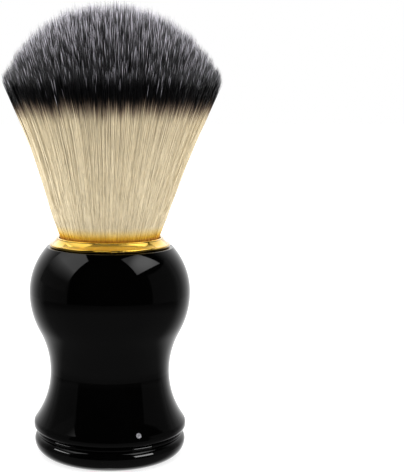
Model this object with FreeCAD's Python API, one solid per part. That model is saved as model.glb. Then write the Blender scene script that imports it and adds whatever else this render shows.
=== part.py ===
"""Shaving brush with a waisted handle, a gold collar and a two-tone synthetic knot.

Millimetres, +Z up. The origin is the centre of the ring face that the brush stands on.
Every solid of the handle is turned about Z, so it starts as a half section: radius along X,
height along Z. The knot is split into tufts of filament, each free to bend outwards.
"""

import FreeCAD
import Part

import math
import os

# Handle outline
WAIST_R, WAIST_Z = 14.05, 19.7
BULB_R, BULB_Z = 18.85, 38.45
FLARE_ARC = 19.7  # hollow curve from the waist down to the lip
SHOULDER_ARC = 16.0  # round curve from the widest point up to the collar
LOWER_BULB_ARC = 18.9  # round curve from the widest point down to the waist
SHOULDER_Z, SHOULDER_EDGE = 49.15, 0.25
LIP_R, LIP_ROUND, LIP_UNDERCUT = 18.0, 1.7, 0.9
JOINT_Z = 6.0  # the handle sits on the base cap here

# Bores in the handle
CAVITY_R, CAVITY_TOP = 10.6, 22.0
SOCKET_R, SOCKET_FLOOR = 12.1, 35.0
SKIRT_SEAT_R, SKIRT_SEAT_Z = 12.6, 45.4

# Base cap
BEAD_R, BEAD_LOW_ROUND, BEAD_TOP_ROUND = 17.85, 3.4, 1.65
RIB_NECK_R, RIB_ROUND = 16.85, 0.45  # thin round rib above the bead
LAND_R = 16.2
SPIGOT_R, SPIGOT_TOP = 10.55, 8.8
RECESS_R, RECESS_DEPTH = 8.9, 2.2
RECESS_EDGE, RECESS_CORNER = 0.7, 1.3

# Weight
WEIGHT_R, WEIGHT_CHAMFER = 10.5, 0.6

# Collar
COLLAR_R, COLLAR_BEAD = 14.1, 0.45
MOUTH_R, LIP_TOP = 11.85, 51.45
SKIRT_WALL_R = 12.55
COVE_R, COVE_SAG = 13.55, 0.05

# Knot inside the handle
PLUG_R, PLUG_TOP, PLUG_DOME = 12.0, 44.2, 47.3
GLUE_THICK = 0.4
ROOT_R = 11.65
BINDING_DEPTH, BINDING_LOW, BINDING_HIGH = 0.45, 44.9, 45.8

# Free part of the knot
HINGE_Z = 53.3
ROOT_TOP, ROOT_TOP_R = 53.0, 12.05
FAN_HINGE_R = 12.2  # outside radius of the fan at the hinge height
BLOOM_R, BLOOM_Z = 25.4, 88.1
DOME_R, DOME_TOP = 27.2, 105.5
TUFT_GAP = 0.3
HEEL_WIDTH = 1.2  # each tuft narrows to this at its hinge
HEEL_HEIGHT = 8.0
# name, number round the brush, inner and outer share of the fan's radius
TUFT_RINGS = [
    ("outer", 12, 0.68, 1.0),
    ("middle", 8, 0.36, 0.68),
    ("core", 4, 0.0, 0.36),
]

# Inlay stud, set square to the flare
STUD_R, STUD_LENGTH, STUD_DIMPLE_R = 0.6, 3.0, 0.18
STUD_Z, STUD_TURN = 8.6, 21.7  # degrees round from the front, -Y, towards +X

FULL_TURN = 360.0
ORIGIN = FreeCAD.Vector(0, 0, 0)
UP = FreeCAD.Vector(0, 0, 1)


def at(radius, height):
    """A point of a half section."""
    return FreeCAD.Vector(radius, 0, height)


def line(start, end):
    return Part.LineSegment(start, end).toShape()


def arc(start, through, end):
    return Part.Arc(start, through, end).toShape()


def arc_about(centre, start, end):
    """The shorter arc from start to end about centre."""
    radius = (start - centre).Length
    middle = (start + end) * 0.5 - centre
    middle.normalize()
    return arc(start, centre + middle * radius, end)


def path(points):
    """Straight edges through the points."""
    return [line(a, b) for a, b in zip(points, points[1:])]


def turned(edges):
    """The solid made by turning a closed half section once round Z."""
    face = Part.Face(Part.Wire(edges))
    return face.revolve(ORIGIN, UP, FULL_TURN)


def turned_polygon(points):
    return turned(path(points + points[:1]))


def lip_centre():
    """Centre of the lip's rounding, which touches the flare's curve from outside."""
    radius = LIP_R - LIP_ROUND
    across = WAIST_R + FLARE_ARC - radius
    down = math.sqrt((FLARE_ARC + LIP_ROUND) ** 2 - across**2)
    return at(radius, WAIST_Z - down)


def bulb_and_waist():
    """Centres of the lower bulb and upper waist curves, and the point where they meet."""
    step_out = BULB_R - WAIST_R
    rise = BULB_Z - WAIST_Z
    both = (step_out**2 + rise**2) / (2 * step_out)  # the two radii added up
    bulb = at(BULB_R - LOWER_BULB_ARC, BULB_Z)
    waist = at(WAIST_R + both - LOWER_BULB_ARC, WAIST_Z)
    meet = bulb + (waist - bulb) * (LOWER_BULB_ARC / both)
    return bulb, waist, meet


def shoulder_centres():
    """Centres of the shoulder's curve and of the small rounding on its top edge."""
    shoulder = at(BULB_R - SHOULDER_ARC, BULB_Z)
    rise = SHOULDER_Z - SHOULDER_EDGE - BULB_Z
    across = math.sqrt((SHOULDER_ARC - SHOULDER_EDGE) ** 2 - rise**2)
    return shoulder, at(shoulder.x + across, shoulder.z + rise)


def handle_outline():
    """Edges of the handle's outside, from the base joint up to the collar's seat."""
    lip = lip_centre()
    undercut = at(LIP_R - LIP_UNDERCUT, JOINT_Z + LIP_UNDERCUT)
    lip_low = at(undercut.x, JOINT_Z)
    lip_turn = at(LIP_R, undercut.z)
    flare_centre = at(WAIST_R + FLARE_ARC, WAIST_Z)
    lip_top = lip + (flare_centre - lip) * (LIP_ROUND / (LIP_ROUND + FLARE_ARC))
    lip_side = at(LIP_R, lip.z)
    waist = at(WAIST_R, WAIST_Z)
    bulb_centre, waist_centre, meet = bulb_and_waist()
    widest = at(BULB_R, BULB_Z)
    shoulder, edge = shoulder_centres()
    edge_low = shoulder + (edge - shoulder) * (SHOULDER_ARC / (SHOULDER_ARC - SHOULDER_EDGE))
    return [
        arc_about(undercut, lip_low, lip_turn),
        line(lip_turn, lip_side),
        arc_about(lip, lip_side, lip_top),
        arc_about(flare_centre, lip_top, waist),
        arc_about(waist_centre, waist, meet),
        arc_about(bulb_centre, meet, widest),
        arc_about(shoulder, widest, edge_low),
        arc_about(edge, edge_low, at(edge.x, SHOULDER_Z)),
    ]


def stud_axes():
    """The stud's place on the flare and the direction that it faces."""
    fall = WAIST_Z - STUD_Z
    flare_centre_r = WAIST_R + FLARE_ARC
    radius = flare_centre_r - math.sqrt(FLARE_ARC**2 - fall**2)
    turn = math.radians(STUD_TURN)
    outward = FreeCAD.Vector(math.sin(turn), -math.cos(turn), 0)
    face = outward * (flare_centre_r - radius) + UP * fall
    face.normalize()
    return outward * radius + UP * STUD_Z, face


def stud_blank(length):
    place, face = stud_axes()
    return Part.makeCylinder(STUD_R, length, place - face * STUD_LENGTH, face)


def handle_body():
    inside = [
        at(shoulder_centres()[1].x, SHOULDER_Z),
        at(SKIRT_SEAT_R, SHOULDER_Z),
        at(SKIRT_SEAT_R, SKIRT_SEAT_Z),
        at(SOCKET_R, SKIRT_SEAT_Z),
        at(SOCKET_R, SOCKET_FLOOR),
        at(0, SOCKET_FLOOR),
        at(0, CAVITY_TOP),
        at(CAVITY_R, CAVITY_TOP),
        at(CAVITY_R, JOINT_Z),
        at(LIP_R - LIP_UNDERCUT, JOINT_Z),
    ]
    body = turned(handle_outline() + path(inside))
    return body.cut(stud_blank(STUD_LENGTH * 2))


def inlay_stud():
    """A pin cut to the flare's own curve, with a small dimple in its face."""
    flare = Part.makeTorus(
        WAIST_R + FLARE_ARC,
        FLARE_ARC,
        FreeCAD.Vector(0, 0, WAIST_Z),
        UP,
    )
    place, face = stud_axes()
    dimple = Part.makeSphere(STUD_DIMPLE_R, place)
    return stud_blank(STUD_LENGTH * 1.5).cut(flare).cut(dimple)


def base_cap():
    """A disc with a round bead and a thin rib as its rim, and a spigot glued into the handle."""
    bead = at(BEAD_R - BEAD_LOW_ROUND, BEAD_LOW_ROUND)
    bead_upper = at(BEAD_R - BEAD_TOP_ROUND, bead.z)
    neck_up = math.sqrt(BEAD_TOP_ROUND**2 - (RIB_NECK_R - bead_upper.x) ** 2)
    bead_low = at(bead.x, 0)
    bead_side = at(BEAD_R, bead.z)
    bead_top = at(RIB_NECK_R, bead.z + neck_up)
    rib_side = at(RIB_NECK_R + RIB_ROUND, bead_top.z + RIB_ROUND)
    rib_top = at(RIB_NECK_R, bead_top.z + 2 * RIB_ROUND)
    edge_centre = at(RECESS_R + RECESS_EDGE, RECESS_EDGE)
    corner_centre = at(RECESS_R - RECESS_CORNER, RECESS_DEPTH - RECESS_CORNER)
    edge_side = at(RECESS_R, edge_centre.z)
    corner_side = at(RECESS_R, corner_centre.z)
    corner_top = at(corner_centre.x, RECESS_DEPTH)
    above = [
        rib_top,
        at(LAND_R, rib_top.z),
        at(LAND_R, JOINT_Z),
        at(SPIGOT_R, JOINT_Z),
        at(SPIGOT_R, SPIGOT_TOP),
        at(0, SPIGOT_TOP),
        at(0, RECESS_DEPTH),
        corner_top,
    ]
    edges = [
        line(at(edge_centre.x, 0), bead_low),
        arc_about(bead, bead_low, bead_side),
        arc_about(bead_upper, bead_side, bead_top),
        arc(bead_top, rib_side, rib_top),
    ]
    edges += path(above)
    edges += [
        arc_about(corner_centre, corner_top, corner_side),
        line(corner_side, edge_side),
        arc_about(edge_centre, edge_side, at(edge_centre.x, 0)),
    ]
    return turned(edges)


def weight_slug():
    return turned_polygon(
        [
            at(0, SPIGOT_TOP),
            at(WEIGHT_R - WEIGHT_CHAMFER, SPIGOT_TOP),
            at(WEIGHT_R, SPIGOT_TOP + WEIGHT_CHAMFER),
            at(WEIGHT_R, CAVITY_TOP - WEIGHT_CHAMFER),
            at(WEIGHT_R - WEIGHT_CHAMFER, CAVITY_TOP),
            at(0, CAVITY_TOP),
        ]
    )


def collar_ring():
    """A round outer bead, a cove that rises to the mouth, and a skirt in the handle."""
    bead = at(COLLAR_R - COLLAR_BEAD, SHOULDER_Z + COLLAR_BEAD)
    bead_low = at(bead.x, SHOULDER_Z)
    bead_side = at(COLLAR_R, bead.z)
    bead_top = at(bead.x, bead.z + COLLAR_BEAD)
    lip_mid_r = (MOUTH_R + SKIRT_WALL_R) / 2
    lip_round = (SKIRT_WALL_R - MOUTH_R) / 2
    lip_side_z = LIP_TOP - lip_round
    cove_out = at(COVE_R, bead_top.z)
    cove_in = at(SKIRT_WALL_R, lip_side_z)
    cove_mid = (cove_out + cove_in) * 0.5 - at(COVE_SAG, COVE_SAG)
    edges = [
        arc_about(bead, bead_low, bead_side),
        arc_about(bead, bead_side, bead_top),
        line(bead_top, cove_out),
        arc(cove_out, cove_mid, cove_in),
        arc(cove_in, at(lip_mid_r, LIP_TOP), at(MOUTH_R, lip_side_z)),
    ]
    inside = [
        at(MOUTH_R, lip_side_z),
        at(MOUTH_R, SKIRT_SEAT_Z),
        at(SKIRT_WALL_R, SKIRT_SEAT_Z),
        at(SKIRT_WALL_R, SHOULDER_Z),
        bead_low,
    ]
    return turned(edges + path(inside))


def socket_adhesive():
    return Part.makeCylinder(PLUG_R, GLUE_THICK, at(0, SOCKET_FLOOR))


def plug_dome_edge(start, end):
    """The curve of the resin's domed top, from the rim to the axis or back."""
    rise = PLUG_DOME - PLUG_TOP
    radius = (ROOT_R**2 + rise**2) / (2 * rise)
    return arc_about(at(0, PLUG_DOME - radius), start, end)


def knot_plug():
    low = SOCKET_FLOOR + GLUE_THICK
    rim = at(ROOT_R, PLUG_TOP)
    crown = at(0, PLUG_DOME)
    sides = [crown, at(0, low), at(PLUG_R, low), at(PLUG_R, PLUG_TOP), rim]
    return turned(path(sides) + [plug_dome_edge(rim, crown)])


def fibre_roots():
    """The filament bundle between the resin plug and the place where the tufts bend."""
    rim = at(ROOT_R, PLUG_TOP)
    crown = at(0, PLUG_DOME)
    waist = ROOT_R - BINDING_DEPTH
    sides = [
        rim,
        at(ROOT_R, BINDING_LOW),
        at(waist, BINDING_LOW),
        at(waist, BINDING_HIGH),
        at(ROOT_R, BINDING_HIGH),
        at(ROOT_R, LIP_TOP),
        at(ROOT_TOP_R, ROOT_TOP),
        at(0, ROOT_TOP),
        crown,
    ]
    return turned(path(sides) + [plug_dome_edge(crown, rim)])


def root_binding():
    waist = ROOT_R - BINDING_DEPTH
    return turned_polygon(
        [
            at(waist, BINDING_LOW),
            at(ROOT_R, BINDING_LOW),
            at(ROOT_R, BINDING_HIGH),
            at(waist, BINDING_HIGH),
        ]
    )


def fan_radius(height, share):
    """Radius at a height of the filaments that stand at a share of the fan's radius."""
    slope = (BLOOM_R - FAN_HINGE_R) / (BLOOM_Z - HINGE_Z)
    return share * (FAN_HINGE_R + slope * (height - HINGE_Z))


def tip(share, inset):
    """Where the filaments at that share, moved inwards by inset, meet the dome."""
    slope = share * (BLOOM_R - FAN_HINGE_R) / (BLOOM_Z - HINGE_Z)
    start = fan_radius(HINGE_Z, share) - inset
    centre = DOME_TOP - DOME_R
    drop = HINGE_Z - centre
    # radius = start + slope * up and radius^2 + (drop + up)^2 = DOME_R^2
    a = slope**2 + 1
    b = 2 * (start * slope + drop)
    c = start**2 + drop**2 - DOME_R**2
    up = (-b + math.sqrt(b * b - 4 * a * c)) / (2 * a)
    return at(start + slope * up, HINGE_Z + up)


def hinge_radius(outer_share):
    return fan_radius(HINGE_Z, outer_share) - TUFT_GAP / 2


def tuft(count, inner_share, outer_share, index):
    """One bundle of filaments, as a sector that narrows to a heel at its hinge."""
    half_gap = TUFT_GAP / 2
    half_angle = math.pi / count
    outer_low = at(hinge_radius(outer_share), HINGE_Z)
    outer_tip = tip(outer_share, half_gap)
    heel = at(outer_low.x - HEEL_WIDTH, HINGE_Z)
    knee_z = HINGE_Z + HEEL_HEIGHT
    inner_offset = -half_gap if inner_share else 0.0
    knee = at(fan_radius(knee_z, inner_share) - inner_offset, knee_z)
    inner_tip = tip(inner_share, inner_offset)
    dome_centre = at(0, DOME_TOP - DOME_R)
    edges = path([inner_tip, knee, heel, outer_low, outer_tip])
    edges.append(arc_about(dome_centre, outer_tip, inner_tip))
    section = Part.Face(Part.Wire(edges))
    section.rotate(ORIGIN, UP, -math.degrees(half_angle))
    sector = section.revolve(ORIGIN, UP, 2 * math.degrees(half_angle))
    # the side faces stand back from their neighbours by half the gap
    reach = 2 * BLOOM_R
    apex = half_gap / math.sin(half_angle)
    spread = reach * math.tan(half_angle)
    wedge = Part.Face(
        Part.makePolygon(
            [
                FreeCAD.Vector(apex, 0, 0),
                FreeCAD.Vector(apex + reach, -spread, 0),
                FreeCAD.Vector(apex + reach, spread, 0),
                FreeCAD.Vector(apex, 0, 0),
            ]
        )
    ).extrude(UP * (2 * DOME_TOP))
    bundle = sector.common(wedge)
    bundle.rotate(ORIGIN, UP, math.degrees(half_angle) * (2 * index + 1))
    return bundle


def export(name, shape):
    solids = shape.Solids
    if not solids or not all(s.isValid() and s.isClosed() for s in solids):
        raise ValueError(f"{name} isn't a closed, valid solid")
    whole = solids[0] if len(solids) == 1 else Part.makeCompound(solids)
    whole.exportStep(f"parts/{name}.step")
    print(f"{name}: {len(solids)} solid, {whole.Volume / 1000:.3f} cm3")


def main():
    os.makedirs("parts", exist_ok=True)
    makers = [
        handle_body,
        base_cap,
        weight_slug,
        collar_ring,
        socket_adhesive,
        knot_plug,
        root_binding,
        fibre_roots,
        inlay_stud,
    ]
    for maker in makers:
        export(maker.__name__, maker())
    for ring, count, inner_share, outer_share in TUFT_RINGS:
        for index in range(count):
            bundle = tuft(count, inner_share, outer_share, index)
            export(f"{ring}_tuft_{index + 1:02d}", bundle)


main()
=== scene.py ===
"""Looks for the shaving brush: filaments, glossy handle, gold collar, studio and camera."""

import math

import bpy
import numpy as np
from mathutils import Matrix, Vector


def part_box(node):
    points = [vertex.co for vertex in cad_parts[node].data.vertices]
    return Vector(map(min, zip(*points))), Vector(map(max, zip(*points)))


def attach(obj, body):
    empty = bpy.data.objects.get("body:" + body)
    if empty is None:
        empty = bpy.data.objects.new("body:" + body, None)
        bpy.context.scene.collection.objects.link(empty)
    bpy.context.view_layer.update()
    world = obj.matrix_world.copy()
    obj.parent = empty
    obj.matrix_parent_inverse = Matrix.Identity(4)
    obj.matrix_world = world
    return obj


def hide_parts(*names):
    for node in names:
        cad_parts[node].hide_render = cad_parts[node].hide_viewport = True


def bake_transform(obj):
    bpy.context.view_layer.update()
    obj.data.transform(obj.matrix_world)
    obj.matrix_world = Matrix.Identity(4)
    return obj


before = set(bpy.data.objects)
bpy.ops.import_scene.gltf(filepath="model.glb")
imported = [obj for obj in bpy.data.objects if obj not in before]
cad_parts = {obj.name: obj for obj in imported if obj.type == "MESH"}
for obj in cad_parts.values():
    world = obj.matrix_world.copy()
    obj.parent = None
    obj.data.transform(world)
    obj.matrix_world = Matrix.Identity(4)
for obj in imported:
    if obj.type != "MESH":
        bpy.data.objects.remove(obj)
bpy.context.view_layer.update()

MM = 0.001
rng = np.random.default_rng(24)

# ---------------------------------------------------------------- the brush's sizes, from the imported parts
collar_low, collar_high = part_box("collar_ring")
roots_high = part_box("fibre_roots")[1]
COLLAR_LOW = collar_low.z
COLLAR_TOP = collar_high.z
HINGE_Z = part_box("outer_tuft_01")[0].z
DOME_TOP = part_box("core_tuft_01")[1].z
ROOT_R, ROOT_TOP = roots_high.x, roots_high.z
BLOOM_R = max(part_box(n)[1].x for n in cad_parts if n.startswith("outer_tuft"))
DOME_R = 27.2 * MM
BLOOM_Z = DOME_TOP - DOME_R + math.sqrt(DOME_R**2 - BLOOM_R**2)
FAN_HINGE_R = 12.2 * MM
MOUTH_R, MOUTH_FLARE = 11.62 * MM, 0.12


# ---------------------------------------------------------------- node helpers
class Nodes:
    """A short way to write a node tree."""

    def __init__(self, tree):
        self.tree = tree
        self.tree.nodes.clear()

    def add(self, kind, **settings):
        node = self.tree.nodes.new(kind)
        for name, value in settings.items():
            setattr(node, name, value)
        return node

    def link(self, source, target):
        self.tree.links.new(source, target)

    def plug(self, socket, value):
        """Links value if it's a socket, otherwise sets it."""
        if isinstance(value, bpy.types.NodeSocket):
            self.link(value, socket)
        else:
            socket.default_value = value

    def math(self, operation, a, b=0.0, clamp=False):
        node = self.add("ShaderNodeMath", operation=operation, use_clamp=clamp)
        self.plug(node.inputs[0], a)
        self.plug(node.inputs[1], b)
        return node.outputs[0]

    def step(self, value, start, end):
        """0 before start, 1 after end, smooth between."""
        node = self.add("ShaderNodeMapRange", interpolation_type="SMOOTHSTEP")
        self.plug(node.inputs["Value"], value)
        self.plug(node.inputs["From Min"], start)
        self.plug(node.inputs["From Max"], end)
        return node.outputs["Result"]

    def span(self, value, low, high, soft):
        """1 between low and high, with soft edges."""
        rise = self.step(value, low - soft, low + soft)
        fall = self.step(value, high - soft, high + soft)
        return self.math("MULTIPLY", rise, self.math("SUBTRACT", 1.0, fall))

    def noise(self, scale, detail=2.0, vector=None):
        node = self.add("ShaderNodeTexNoise")
        node.inputs["Scale"].default_value = scale
        node.inputs["Detail"].default_value = detail
        self.link(self.object_place() if vector is None else vector, node.inputs["Vector"])
        return node.outputs["Fac"]

    def ramp(self, value, stops):
        node = self.add("ShaderNodeValToRGB")
        elements = node.color_ramp.elements
        while len(elements) < len(stops):
            elements.new(0.5)
        for element, (position, colour) in zip(elements, stops):
            element.position = position
            element.color = (*colour, 1.0)
        self.plug(node.inputs["Fac"], value)
        return node.outputs["Color"]

    def object_place(self):
        """A point's coordinates in its own piece."""
        return self.add("ShaderNodeTexCoord").outputs["Object"]

    def parts_of(self, vector):
        """A vector's x, y and z."""
        node = self.add("ShaderNodeSeparateXYZ")
        self.link(vector, node.inputs[0])
        return node.outputs

    def attribute(self, name):
        return self.add("ShaderNodeAttribute", attribute_name=name).outputs["Fac"]

    def mix(self, factor, a, b, blend="MIX"):
        node = self.add("ShaderNodeMix", data_type="RGBA", blend_type=blend)
        self.plug(node.inputs["Factor"], factor)
        self.plug(node.inputs[6], (*a, 1.0) if isinstance(a, tuple) else a)
        self.plug(node.inputs[7], (*b, 1.0) if isinstance(b, tuple) else b)
        return node.outputs[2]

    def bump(self, height, strength, distance):
        node = self.add("ShaderNodeBump")
        node.inputs["Strength"].default_value = strength
        node.inputs["Distance"].default_value = distance
        self.link(height, node.inputs["Height"])
        return node.outputs["Normal"]


def srgb(red, green, blue):
    """Linear colour from 0-255 display values."""
    def linear(value):
        value /= 255
        return value / 12.92 if value <= 0.04045 else ((value + 0.055) / 1.055) ** 2.4
    return tuple(linear(v) for v in (red, green, blue))


def material(name, **constants):
    """A Principled material. Returns it with its node helper and its shader."""
    made = bpy.data.materials.new(name)
    made.use_nodes = True
    nodes = Nodes(made.node_tree)
    shader = nodes.add("ShaderNodeBsdfPrincipled")
    output = nodes.add("ShaderNodeOutputMaterial")
    nodes.link(shader.outputs["BSDF"], output.inputs["Surface"])
    for key, value in constants.items():
        shader.inputs[key.replace("_", " ")].default_value = value
    return made, nodes, shader


# ---------------------------------------------------------------- materials
def black_plastic():
    """Polished cast resin: near black, with faint flow marks and polishing haze."""
    made, n, shader = material("black_resin", IOR=1.5)
    flow = n.noise(90.0, detail=3.0)
    colour = n.ramp(flow, [(0.3, (0.0004, 0.0004, 0.0004)), (0.7, (0.0008, 0.0008, 0.0008))])
    n.link(colour, shader.inputs["Base Color"])
    haze = n.noise(900.0, detail=4.0)
    n.link(n.math("ADD", 0.035, n.math("MULTIPLY", haze, 0.03)), shader.inputs["Roughness"])
    n.link(n.bump(n.noise(260.0), 0.04, 0.00005), shader.inputs["Normal"])
    return made


def gold_plate():
    """Lacquered gold plating, with fine turning lines round the collar."""
    made, n, shader = material("gold_plate", Metallic=1.0)
    for key, value in {"Weight": 1.0, "Roughness": 0.06, "IOR": 1.75}.items():
        shader.inputs["Coat " + key].default_value = value
    x, y, z = n.parts_of(n.object_place())
    radius = n.math("SQRT", n.math("ADD", n.math("POWER", x, 2.0), n.math("POWER", y, 2.0)))
    lines = n.add("ShaderNodeCombineXYZ")
    n.link(radius, lines.inputs[0])
    n.link(z, lines.inputs[2])
    turning = n.noise(2600.0, detail=2.0, vector=lines.outputs[0])
    wear = n.noise(300.0, detail=3.0)
    colour = n.ramp(wear, [(0.3, srgb(250, 194, 34)), (0.7, srgb(255, 210, 50))])
    n.link(colour, shader.inputs["Base Color"])
    n.link(n.math("ADD", 0.05, n.math("MULTIPLY", turning, 0.14)), shader.inputs["Roughness"])
    n.link(n.bump(turning, 0.45, 0.00003), shader.inputs["Normal"])
    return made


def plain(name, low, high, scale, roughness, **constants):
    """A hidden or small piece: two tones of one colour, uneven roughness and a fine bump."""
    made, n, shader = material(name, **constants)
    grain = n.noise(scale, detail=3.0)
    n.link(n.ramp(grain, [(0.3, low), (0.7, high)]), shader.inputs["Base Color"])
    n.link(n.math("ADD", roughness, n.math("MULTIPLY", grain, 0.12)), shader.inputs["Roughness"])
    n.link(n.bump(grain, 0.15, 0.00004), shader.inputs["Normal"])
    return made


DYED_LENGTH = 16.0  # mm back from the tip
# pale colour of the painted highlights at the filament ends
PAINTED_TIP_HIGHLIGHT = srgb(236, 232, 244)


def fibre():
    """Crimped synthetic filament, dyed in bands measured back from its tip, with painted highlights near the
    tip and a painted gold reflection near the root.
    """
    made, n, shader = material("fibre", IOR=1.5, Specular_IOR_Level=0.3)
    tip, root, tone, painted_glint = (n.attribute(key) for key in ("to_tip", "to_root", "tone", "painted_glint"))
    along = n.math("DIVIDE", tip, DYED_LENGTH, clamp=True)
    # dyed bands, black towards the tip and cream further down; the slightly lighter, cooler first two
    # millimetres at the very tip are painted highlight
    bands = n.ramp(along, [
        (0.0, srgb(24, 24, 28)),
        (0.12, srgb(12, 12, 15)),
        (0.36, srgb(8, 8, 9)),
        (0.42, srgb(42, 34, 30)),
        (0.49, srgb(104, 87, 73)),
        (0.57, srgb(170, 153, 127)),
        (0.68, srgb(222, 207, 174)),
    ])
    # painted highlights: the very ends are mixed a little towards a pale colour, and the filaments picked to
    # glint are painted pale further down
    ends = n.math("SUBTRACT", 1.0, n.step(tip, 0.15, 0.8))
    streak_end = n.math("ADD", 0.5, n.math("MULTIPLY", painted_glint, 3.6))
    streak = n.math("MULTIPLY", n.math("SUBTRACT", 1.0, n.step(tip, 0.3, streak_end)), painted_glint)
    end_share = n.math("MINIMUM", n.math("MULTIPLY", painted_glint, 3.5), 0.14)
    pale = n.math("MAXIMUM", n.math("MULTIPLY", ends, end_share), streak)
    ended = n.mix(pale, bands, PAINTED_TIP_HIGHLIGHT)
    # painted glints: brightness changes in short dashes along each filament, on top of its own random tone
    stretch = n.add("ShaderNodeMapping")
    n.link(n.object_place(), stretch.inputs["Vector"])
    stretch.inputs["Scale"].default_value = (2800.0, 2800.0, 560.0)
    painted_glint_dashes = n.noise(1.0, detail=1.0, vector=stretch.outputs["Vector"])
    varied = n.math("ADD", n.math("MULTIPLY", tone, 0.12), n.math("MULTIPLY", painted_glint_dashes, 0.4))
    grey = n.ramp(n.math("ADD", 0.70, varied), [(0.0, (0.0, 0.0, 0.0)), (1.0, (1.0, 1.0, 1.0))])
    toned = n.mix(1.0, ended, grey, "MULTIPLY")
    # painted reflection: the collar's gold light is painted onto the first millimetres, darker orange right
    # at the root as painted shade
    glow = n.math("SUBTRACT", 1.0, n.step(root, 1.8, 4.6))
    depth = n.math("DIVIDE", root, 4.0, clamp=True)
    sheen = n.ramp(depth, [
        (0.3, srgb(186, 124, 0)),
        (0.45, srgb(212, 162, 8)),
        (0.7, srgb(228, 194, 90)),
    ])
    painted_gold_bounce = n.mix(n.math("MULTIPLY", glow, 0.95), toned, sheen)
    n.link(painted_gold_bounce, shader.inputs["Base Color"])
    n.link(n.math("ADD", 0.3, n.math("MULTIPLY", tone, 0.2)), shader.inputs["Roughness"])
    return made


black = black_plastic()
looks = {
    "handle_body": black,
    "base_cap": black,
    "collar_ring": gold_plate(),
    "weight_slug": plain("turned_steel", (0.32, 0.32, 0.33), (0.5, 0.5, 0.51), 700.0, 0.25, Metallic=1.0),
    "socket_adhesive": plain("adhesive", srgb(214, 196, 150), srgb(232, 218, 178), 500.0, 0.2),
    "knot_plug": plain("cast_resin", srgb(206, 188, 146), srgb(226, 210, 170), 350.0, 0.2),
    "root_binding": plain("binding_thread", srgb(226, 220, 206), srgb(240, 236, 226), 2500.0, 0.7),
    "inlay_stud": plain("brushed_stud", srgb(216, 216, 222), srgb(232, 232, 238), 1500.0, 0.35, Metallic=0.8),
}
for node, look in looks.items():
    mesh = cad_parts[node].data
    for index in range(len(mesh.materials)):
        mesh.materials[index] = look


# ---------------------------------------------------------------- filaments
# rings along a filament, closer together near its foot, where it bends
RING_STEPS = np.array([0.0, 0.035, 0.08, 0.14, 0.21, 0.29, 0.38, 0.47, 0.56, 0.65, 0.74, 0.84, 0.93, 1.0])
SIDES = 3
STRANDS = 32000
STRAND_R = 0.076 * MM
LOCKS = 1500  # small locks that lean together near their tips
FOOT_DEPTH = 1.0 * MM  # filaments start this far below the collar's top
FAN_HOLLOW = 0.5 * MM
WAVE = 0.09 * MM
SIDE_LEAN = 0.6 * MM  # the knot stands a little to one side over its middle
RIM_SHARE = 0.9
FAN_SLOPE = (BLOOM_R - FAN_HINGE_R) / (BLOOM_Z - HINGE_Z)


def swell(value, low, high):
    """0 at low and at high, 1 half way between them."""
    return np.sin(math.pi * np.clip((value - low) / (high - low), 0, 1))


def fan_spread(height):
    """Radius of the fan's outside at a height: it leaves the collar upright, then flares."""
    line = FAN_HINGE_R + FAN_SLOPE * (height - HINGE_Z)
    mouth = MOUTH_R + MOUTH_FLARE * (height - COLLAR_TOP)
    return np.maximum(line - FAN_HOLLOW * swell(height, HINGE_Z, BLOOM_Z) ** 2, mouth)


def dome_hit(share):
    """Height at which a filament at that share of the radius reaches the dome."""
    centre = DOME_TOP - DOME_R
    low = np.full_like(share, HINGE_Z)
    high = np.full_like(share, DOME_TOP)
    for _ in range(40):
        mid = (low + high) / 2
        inside = (share * fan_spread(mid)) ** 2 + (mid - centre) ** 2 < DOME_R**2
        low = np.where(inside, mid, low)
        high = np.where(inside, high, mid)
    return low


def tube_faces(layers, tip):
    """Corner numbers of one tube: quads between its rings, and triangles at its tip and foot."""
    quads = []
    for start in range(0, (layers - 1) * SIDES, SIDES):
        for corner in range(SIDES):
            following = (corner + 1) % SIDES
            quads.append((
                start + corner,
                start + following,
                start + SIDES + following,
                start + SIDES + corner,
            ))
    last = (layers - 1) * SIDES
    triangles = [(last + corner, last + (corner + 1) % SIDES, tip) for corner in range(SIDES)]
    triangles.append((2, 1, 0))
    return np.array(quads), np.array(triangles)


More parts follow.
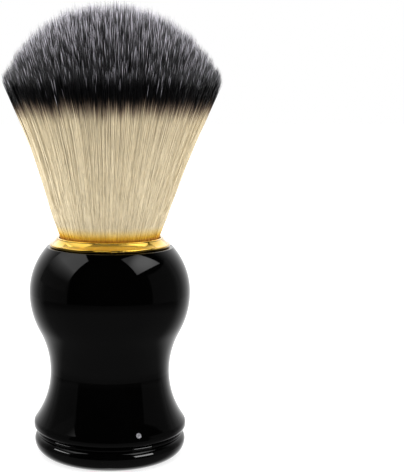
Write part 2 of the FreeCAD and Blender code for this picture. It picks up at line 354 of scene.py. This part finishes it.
def strand_mesh(name, points, radii, attributes, twist):
    """One mesh of many thin tapered tubes. points is strands x rings x 3."""
    strands, rings, _ = points.shape
    along = np.gradient(points, axis=1)
    along /= np.linalg.norm(along, axis=2, keepdims=True)
    side = np.cross(along, np.array([0.0, 1.0, 0.0]))
    side /= np.linalg.norm(side, axis=2, keepdims=True)
    other = np.cross(along, side)
    turn = twist[:, None, None, None] + np.arange(SIDES)[None, None, :, None] * (2 * math.pi / SIDES)
    offset = np.cos(turn) * side[:, :, None, :] + np.sin(turn) * other[:, :, None, :]
    tube = points[:, :, None, :] + offset * radii[:, :, None, None]
    tips = points[:, -1, :]
    body = tube[:, :-1].reshape(strands, -1, 3)
    verts = np.concatenate([body, tips[:, None, :]], axis=1)
    per_strand = verts.shape[1]
    quads, triangles = tube_faces(rings - 1, per_strand - 1)
    shift = (np.arange(strands) * per_strand)[:, None, None]
    loops = np.concatenate([(quads[None] + shift).reshape(-1), (triangles[None] + shift).reshape(-1)])
    counts = np.concatenate([
        np.full(strands * len(quads), 4),
        np.full(strands * len(triangles), 3),
    ])
    starts = np.concatenate([[0], np.cumsum(counts)[:-1]])
    mesh = bpy.data.meshes.new(name)
    mesh.vertices.add(strands * per_strand)
    mesh.vertices.foreach_set("co", verts.astype(np.float32).reshape(-1))
    mesh.loops.add(len(loops))
    mesh.loops.foreach_set("vertex_index", loops.astype(np.int32))
    mesh.polygons.add(len(counts))
    mesh.polygons.foreach_set("loop_start", starts.astype(np.int32))
    mesh.polygons.foreach_set("use_smooth", np.ones(len(counts), bool))
    for key, value in attributes.items():
        ring_values = np.repeat(value[:, :-1], SIDES, axis=1)
        per_vertex = np.concatenate([ring_values, value[:, -1:]], axis=1)
        attribute = mesh.attributes.new(key, "FLOAT", "POINT")
        attribute.data.foreach_set("value", per_vertex.astype(np.float32).reshape(-1))
    mesh.update(calc_edges=True)
    mesh.validate()
    made = bpy.data.objects.new(name, mesh)
    bpy.context.scene.collection.objects.link(made)
    return made


def polar(radius, angle):
    return radius * np.cos(angle), radius * np.sin(angle)


def grow_knot():
    """Paths, shades and places of every filament of the knot."""
    share = rng.random(STRANDS) ** 0.46
    shell = rng.random(STRANDS) < 0.22
    share = np.where(shell, rng.uniform(0.93, 1.0, STRANDS), share)
    angle = rng.random(STRANDS) * 2 * math.pi
    # small locks that lean together near their tips
    lock_share = np.sqrt(rng.random(LOCKS))
    lock_angle = rng.random(LOCKS) * 2 * math.pi
    lx, ly = polar(lock_share, lock_angle)
    sx, sy = polar(share, angle)
    nearest = np.argmin((sx[:, None] - lx[None]) ** 2 + (sy[:, None] - ly[None]) ** 2, axis=1)
    top_x = sx + (lx[nearest] - sx) * 0.3 + rng.normal(0, 0.012, STRANDS)
    top_y = sy + (ly[nearest] - sy) * 0.3 + rng.normal(0, 0.012, STRANDS)
    # heights of the tips: uneven, a few of them proud of the dome
    base = COLLAR_TOP - FOOT_DEPTH
    reach = dome_hit(np.minimum(np.hypot(top_x, top_y), 1.0))
    reach += rng.normal(0, 0.32 * MM, STRANDS) + rng.normal(0, 0.34 * MM, LOCKS)[nearest]
    reach -= 0.45 * MM + 0.3 * MM * swell(share, 0.45, 1.0)
    reach += np.where(rng.random(STRANDS) < 0.06, rng.random(STRANDS) * 0.8 * MM, 0)
    # round the rim many filaments stop short
    short = (share > RIM_SHARE) & (rng.random(STRANDS) < 0.3)
    reach -= np.where(short, rng.random(STRANDS) ** 2 * 3.5 * MM, 0)
    t = RING_STEPS[None, :]
    z = base + (reach[:, None] - base) * t
    lean = t**2
    spread = fan_spread(z)
    phase = rng.uniform(0, 2 * math.pi, (STRANDS, 2, 1))
    pitch = rng.uniform(18, 32, (STRANDS, 2, 1))
    wave = WAVE * np.sin(t[None] * pitch + phase) * np.clip(t[None] * 8, 0, 1) * (1.1 - t[None])
    x = (sx[:, None] * (1 - lean) + top_x[:, None] * lean) * spread + wave[:, 0]
    y = (sy[:, None] * (1 - lean) + top_y[:, None] * lean) * spread + wave[:, 1]
    x += SIDE_LEAN * swell(z, HINGE_Z, DOME_TOP) ** 1.5
    points = np.stack([x, y, z], axis=2)
    lengths = np.linalg.norm(np.diff(points, axis=1), axis=2)
    from_root = np.concatenate([np.zeros((STRANDS, 1)), np.cumsum(lengths, axis=1)], axis=1) / MM
    to_tip = from_root[:, -1:] - from_root
    # some filaments get a long painted highlight at the end, fewer of them round the rim; the rest get a
    # faint painted highlight at the very end, none at the rim's edge
    painted_glint_strands = rng.random(STRANDS) < np.interp(share, [0.0, 0.6, 0.82, 0.95], [0.46, 0.32, 0.13, 0.05])
    faint_glint = np.interp(share, [0.86, 0.95], [0.04, 0.0])
    painted_glint = np.where(painted_glint_strands, rng.uniform(0.3, 1.0, STRANDS), faint_glint)[:, None]
    thickness = STRAND_R * rng.uniform(0.8, 1.2, (STRANDS, 1)) * np.where(painted_glint_strands, 1.45, 1.0)[:, None]
    radii = thickness * np.interp(t, [0, 0.8, 1.0], [1.0, 0.9, 0.25])
    tone = np.repeat(np.clip(rng.normal(0.5, 0.22, (STRANDS, 1)), 0, 1), t.shape[1], axis=1)
    painted_glint = np.repeat(painted_glint, t.shape[1], axis=1)
    # the dye line follows the dome, not each filament's own length
    dome_gap = (dome_hit(np.minimum(share, 1.0)) - reach)[:, None] / MM
    band_shift = np.clip(dome_gap, 0, 9) * 0.9 + rng.normal(0, 0.7, (STRANDS, 1))
    attributes = {"to_tip": np.maximum(to_tip + band_shift * (to_tip > 4.5), 0),
                  "to_root": from_root, "tone": tone, "painted_glint": painted_glint}
    return share, angle, points, radii, attributes


# name, number of tufts and inner edge of each ring, as a share of the fan's radius
TUFT_RINGS = [("outer", 12, 0.68), ("middle", 8, 0.36), ("core", 4, -1.0)]


def tuft_of(share, angle):
    """Which tuft each filament is grouped with. Neighbouring tufts mix at their edges."""
    names = np.empty(len(share), dtype=object)
    edge = share + rng.normal(0, 0.03, len(share))
    left = np.ones(len(share), bool)
    for ring, count, inner in TUFT_RINGS:
        here = left & (edge > inner)
        place = angle / (2 * math.pi) * count - 0.5
        low = np.floor(place)
        chance = np.clip((place - low - 0.5) * 1.4 + 0.5, 0, 1)
        index = (low + (rng.random(len(share)) < chance)).astype(int) % count
        for i in range(count):
            names[here & (index == i)] = f"{ring}_tuft_{i + 1:02d}"
        left &= ~here
    return names


fibre_look = fibre()
share, angle, points, radii, attributes = grow_knot()
tufts = tuft_of(share, angle)
twist = rng.random(STRANDS) * 2 * math.pi
filaments = []
for node in sorted(set(tufts)):
    chosen = tufts == node
    lock = strand_mesh(
        node.replace("tuft", "fibres"),
        points[chosen],
        radii[chosen],
        {key: value[chosen] for key, value in attributes.items()},
        twist[chosen],
    )
    lock.data.materials.append(fibre_look)
    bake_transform(lock)
    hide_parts(node)
    filaments.append(lock)


RODS = 2600
ROD_R = 0.16 * MM
ROD_STEPS = np.array([0.0, 0.6, 0.9, 1.0])
GOLDEN_ANGLE = math.pi * (3 - math.sqrt(5))


def root_bed():
    """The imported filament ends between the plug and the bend, as short upright rods."""
    place = np.sqrt((np.arange(RODS) + 0.5) / RODS)
    turn = np.arange(RODS) * GOLDEN_ANGLE
    high = ROOT_TOP - 0.15 * MM - rng.random(RODS) * 0.5 * MM
    z = COLLAR_LOW + (high[:, None] - COLLAR_LOW) * ROD_STEPS[None, :]
    x, y = polar(place * (ROOT_R - 0.6 * MM), turn)
    rings = len(ROD_STEPS)
    points = np.stack([np.repeat(x[:, None], rings, 1), np.repeat(y[:, None], rings, 1), z], axis=2)
    radii = np.full((RODS, rings), ROD_R)
    # to_tip puts the rods in the cream band; to_root of 1.5 mm gives them the painted gold reflection, and
    # they get no painted highlight
    attributes = {"to_tip": np.full((RODS, rings), 40.0),
                  "to_root": np.full((RODS, rings), 1.5),
                  "tone": np.repeat(rng.random((RODS, 1)), rings, axis=1),
                  "painted_glint": np.zeros((RODS, rings))}
    return strand_mesh("fibre_bed", points, radii, attributes, rng.random(RODS) * 2 * math.pi)


bed = root_bed()
bed.data.materials.append(fibre_look)
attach(bed, "handle")
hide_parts("fibre_roots")


# ---------------------------------------------------------------- camera
CAMERA_AWAY, CAMERA_UP = 236.7 * MM, 80.28 * MM
CAMERA_PITCH = math.radians(6.9314)
LENS, SENSOR = 77.8, 36.0  # millimetres, as the camera counts them
BRUSH_TO_LEFT = 0.1952  # the brush stands this far left of the middle
camera_data = bpy.data.cameras.new("camera")
camera_data.lens = LENS
camera_data.sensor_width = SENSOR
camera_data.shift_x = BRUSH_TO_LEFT
camera_data.clip_start = 0.01
camera = bpy.data.objects.new("camera", camera_data)
camera.location = (0.0, -CAMERA_AWAY, CAMERA_UP)
camera.rotation_euler = (math.pi / 2 - CAMERA_PITCH, 0.0, 0.0)
bpy.context.scene.collection.objects.link(camera)
bpy.context.scene.camera = camera
bpy.context.scene.view_settings.view_transform = "Standard"


# ---------------------------------------------------------------- studio
CAMERA_WHITE = (1.0, 1.0, 1.0)
FILL_LIGHT = (0.75, 0.75, 0.75)
BACKDROP, WALLS, GROUND, DARK = 1.1, 0.055, 0.09, 0.003  # how bright each side of the tent is


def build_world():
    """A light tent: white behind, dim side walls, a grey floor and a dark front.

    Polished pieces mirror the tent. Matte surfaces get an even light, and the camera sees white.
    """
    world = bpy.data.worlds.new("studio")
    world.use_nodes = True
    bpy.context.scene.world = world
    world.cycles.sampling_method = "NONE"
    n = Nodes(world.node_tree)
    x, y, z = n.parts_of(n.add("ShaderNodeTexCoord").outputs["Generated"])
    turn = n.math("MULTIPLY", n.math("ARCTAN2", x, n.math("MULTIPLY", y, -1.0)), 180 / math.pi)
    rise = n.math("MULTIPLY", n.math("ARCSINE", z), 180 / math.pi)
    side = n.math("ABSOLUTE", turn)
    backdrop = n.math("MULTIPLY", n.step(side, 103.0, 175.0), BACKDROP)
    floor = n.math("SUBTRACT", 1.0, n.step(rise, -24.0, -7.0))
    walls = n.math("MULTIPLY", n.span(rise, -12.0, 30.0, 1.5), n.span(side, 62.0, 117.0, 1.5))
    light = n.math("ADD", backdrop, n.math("MULTIPLY", walls, WALLS))
    light = n.math("ADD", light, n.math("MULTIPLY", floor, GROUND))
    light = n.math("ADD", light, DARK)
    path = n.add("ShaderNodeLightPath")
    seen = n.mix(path.outputs["Is Glossy Ray"], FILL_LIGHT, light)
    seen = n.mix(path.outputs["Is Camera Ray"], seen, CAMERA_WHITE)
    background = n.add("ShaderNodeBackground")
    n.link(seen, background.inputs["Color"])
    output = n.add("ShaderNodeOutputWorld")
    n.link(background.outputs[0], output.inputs["Surface"])


FLOOR_HALF = 6.0


def square_mesh(name, corners):
    mesh = bpy.data.meshes.new(name)
    mesh.from_pydata(corners, [], [(0, 1, 2, 3)])
    return mesh


def build_floor():
    """A plain white floor that mirrors don't show."""
    signs = [(-1, -1), (1, -1), (1, 1), (-1, 1)]
    mesh = square_mesh("floor", [(a * FLOOR_HALF, b * FLOOR_HALF, 0) for a, b in signs])
    floor = bpy.data.objects.new("floor", mesh)
    bpy.context.scene.collection.objects.link(floor)
    made, _, shader = material("pale_floor", Roughness=0.9, Specular_IOR_Level=0.0)
    shader.inputs["Base Color"].default_value = (0.8, 0.8, 0.8, 1.0)
    shader.inputs["Emission Color"].default_value = (1.0, 1.0, 1.0, 1.0)
    shader.inputs["Emission Strength"].default_value = 0.75
    mesh.materials.append(made)
    floor.visible_glossy = False


def softbox(name, corners, strength):
    """A glowing patch that only mirrors show. strength makes its brightness from its nodes."""
    mesh = square_mesh(name, corners)
    patch = bpy.data.objects.new(name, mesh)
    bpy.context.scene.collection.objects.link(patch)
    made = bpy.data.materials.new(name)
    made.use_nodes = True
    n = Nodes(made.node_tree)
    glow = n.add("ShaderNodeEmission")
    n.link(strength(n), glow.inputs["Strength"])
    output = n.add("ShaderNodeOutputMaterial")
    n.link(glow.outputs[0], output.inputs["Surface"])
    made.cycles.emission_sampling = "NONE"
    mesh.materials.append(made)
    for ray in ("camera", "diffuse", "transmission", "volume_scatter", "shadow"):
        setattr(patch, "visible_" + ray, False)


SOFTBOX_AWAY = 100 * MM
RIGHT_TURN = math.radians(68)  # the right panel is turned this far from the front


def left_strength(n):
    """Dark below and towards the back, bright above."""
    _, y, z = n.parts_of(n.object_place())
    rise = n.math("DIVIDE", n.math("SUBTRACT", z, 57 * MM), 64 * MM, clamp=True)
    back = n.step(y, -10 * MM, 60 * MM)
    fade = n.math("SUBTRACT", 1.0, n.math("MULTIPLY", back, 0.5))
    strength = n.math("MULTIPLY", n.math("MULTIPLY", n.math("POWER", rise, 2.2), 1.2), fade)
    return n.math("MAXIMUM", strength, 0.075)


def right_strength(n):
    """Bright in the middle, dimmer towards the corners."""
    middle = n.add("ShaderNodeVectorMath", operation="DISTANCE")
    n.link(n.object_place(), middle.inputs[0])
    middle.inputs[1].default_value = on_right(0.0, 148.0)
    glow = n.math("SUBTRACT", 1.0, n.step(middle.outputs["Value"], 10 * MM, 85 * MM))
    return n.math("ADD", 0.66, n.math("MULTIPLY", glow, 1.45))


def on_left(along, height):
    """A point in millimetres on the left panel, counted from the brush's axis to the front."""
    return (-SOFTBOX_AWAY, -along * MM, height * MM)


def on_right(along, height):
    """A point in millimetres on the right panel, counted towards the back."""
    away = Vector((math.sin(RIGHT_TURN), -math.cos(RIGHT_TURN), 0)) * SOFTBOX_AWAY
    across = Vector((math.cos(RIGHT_TURN), math.sin(RIGHT_TURN), 0)) * along * MM
    return tuple(away + across + Vector((0, 0, height * MM)))


def area_light(name, place, target, size, power, receivers):
    """A soft light that only its receivers see."""
    data = bpy.data.lights.new(name, "AREA")
    data.shape = "RECTANGLE"
    data.size, data.size_y = size
    data.energy = power
    light = bpy.data.objects.new(name, data)
    light.location = place
    aim = Vector(target) - Vector(place)
    light.rotation_euler = aim.to_track_quat("-Z", "Y").to_euler()
    light.visible_camera = False
    bpy.context.scene.collection.objects.link(light)
    light.light_linking.receiver_collection = receivers


def panel_round(height, name, turn, rise, size, radiance, receivers):
    """A panel aimed at the axis at a height, turned from the front to the right, in degrees."""
    turn, rise = math.radians(turn), math.radians(rise)
    away = Vector((math.sin(turn) * math.cos(rise), -math.cos(turn) * math.cos(rise), math.sin(rise)))
    target = Vector((0.0, 0.0, height))
    power = radiance * math.pi * size[0] * size[1]
    area_light(name, target + away * PANEL_AWAY, target, size, power, receivers)


def lit_group(name, things):
    """A collection of the pieces that some of the lights reach."""
    group = bpy.data.collections.new(name)
    for thing in things:
        group.objects.link(thing)
    return group


KNOT = (0.0, 0.0, 80 * MM)
BEAD_HEIGHT = 4 * MM
PANEL_AWAY = 0.5

build_world()
build_floor()
left_corners = [(54, 50), (-42, 50), (-42, 236), (87, 236)]
softbox("left_panel", [on_left(*corner) for corner in left_corners], left_strength)
right_corners = [(-49, 111), (46, 114), (14, 200), (-80, 290)]
softbox("right_panel", [on_right(*corner) for corner in right_corners], right_strength)
soft_lit = lit_group("soft_lit", filaments + [bed])
gold_lit = lit_group("gold_lit", [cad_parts["collar_ring"]])
cap_lit = lit_group("cap_lit", [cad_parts["base_cap"]])
area_light("key_left", (-0.45, -0.55, 0.35), KNOT, (0.5, 0.5), 2.0, soft_lit)
area_light("key_right", (0.5, -0.5, 0.3), KNOT, (0.5, 0.5), 1.5, soft_lit)
area_light("top", (0.0, 0.15, 0.7), KNOT, (0.5, 0.5), 7.0, soft_lit)
area_light("over_collar", (0.0, 0.05, 0.55), KNOT, (0.9, 0.7), 0.5, gold_lit)
area_light("collar_front", (0.0, -0.65, 0.4), KNOT, (0.8, 0.1), 0.7, gold_lit)
panel_round(COLLAR_TOP, "collar_left", -103, 42, (0.3, 0.12), 1.3, gold_lit)
panel_round(COLLAR_TOP, "collar_right", 76, 50, (0.42, 0.12), 1.4, gold_lit)
panel_round(COLLAR_TOP, "wing_left", -135, 24, (0.4, 0.2), 0.7, gold_lit)
panel_round(COLLAR_TOP, "wing_right", 130, 26, (0.5, 0.22), 0.6, gold_lit)
panel_round(BEAD_HEIGHT, "cap_left", -80, 28, (0.24, 0.15), 6.5, cap_lit)
panel_round(BEAD_HEIGHT, "cap_right", 52, 17, (0.26, 0.15), 6.5, cap_lit)
area_light("rim_left", (-0.6, 0.35, 0.2), KNOT, (0.4, 0.5), 7.0, soft_lit)
area_light("rim_right", (0.6, 0.35, 0.2), KNOT, (0.4, 0.5), 7.0, soft_lit)
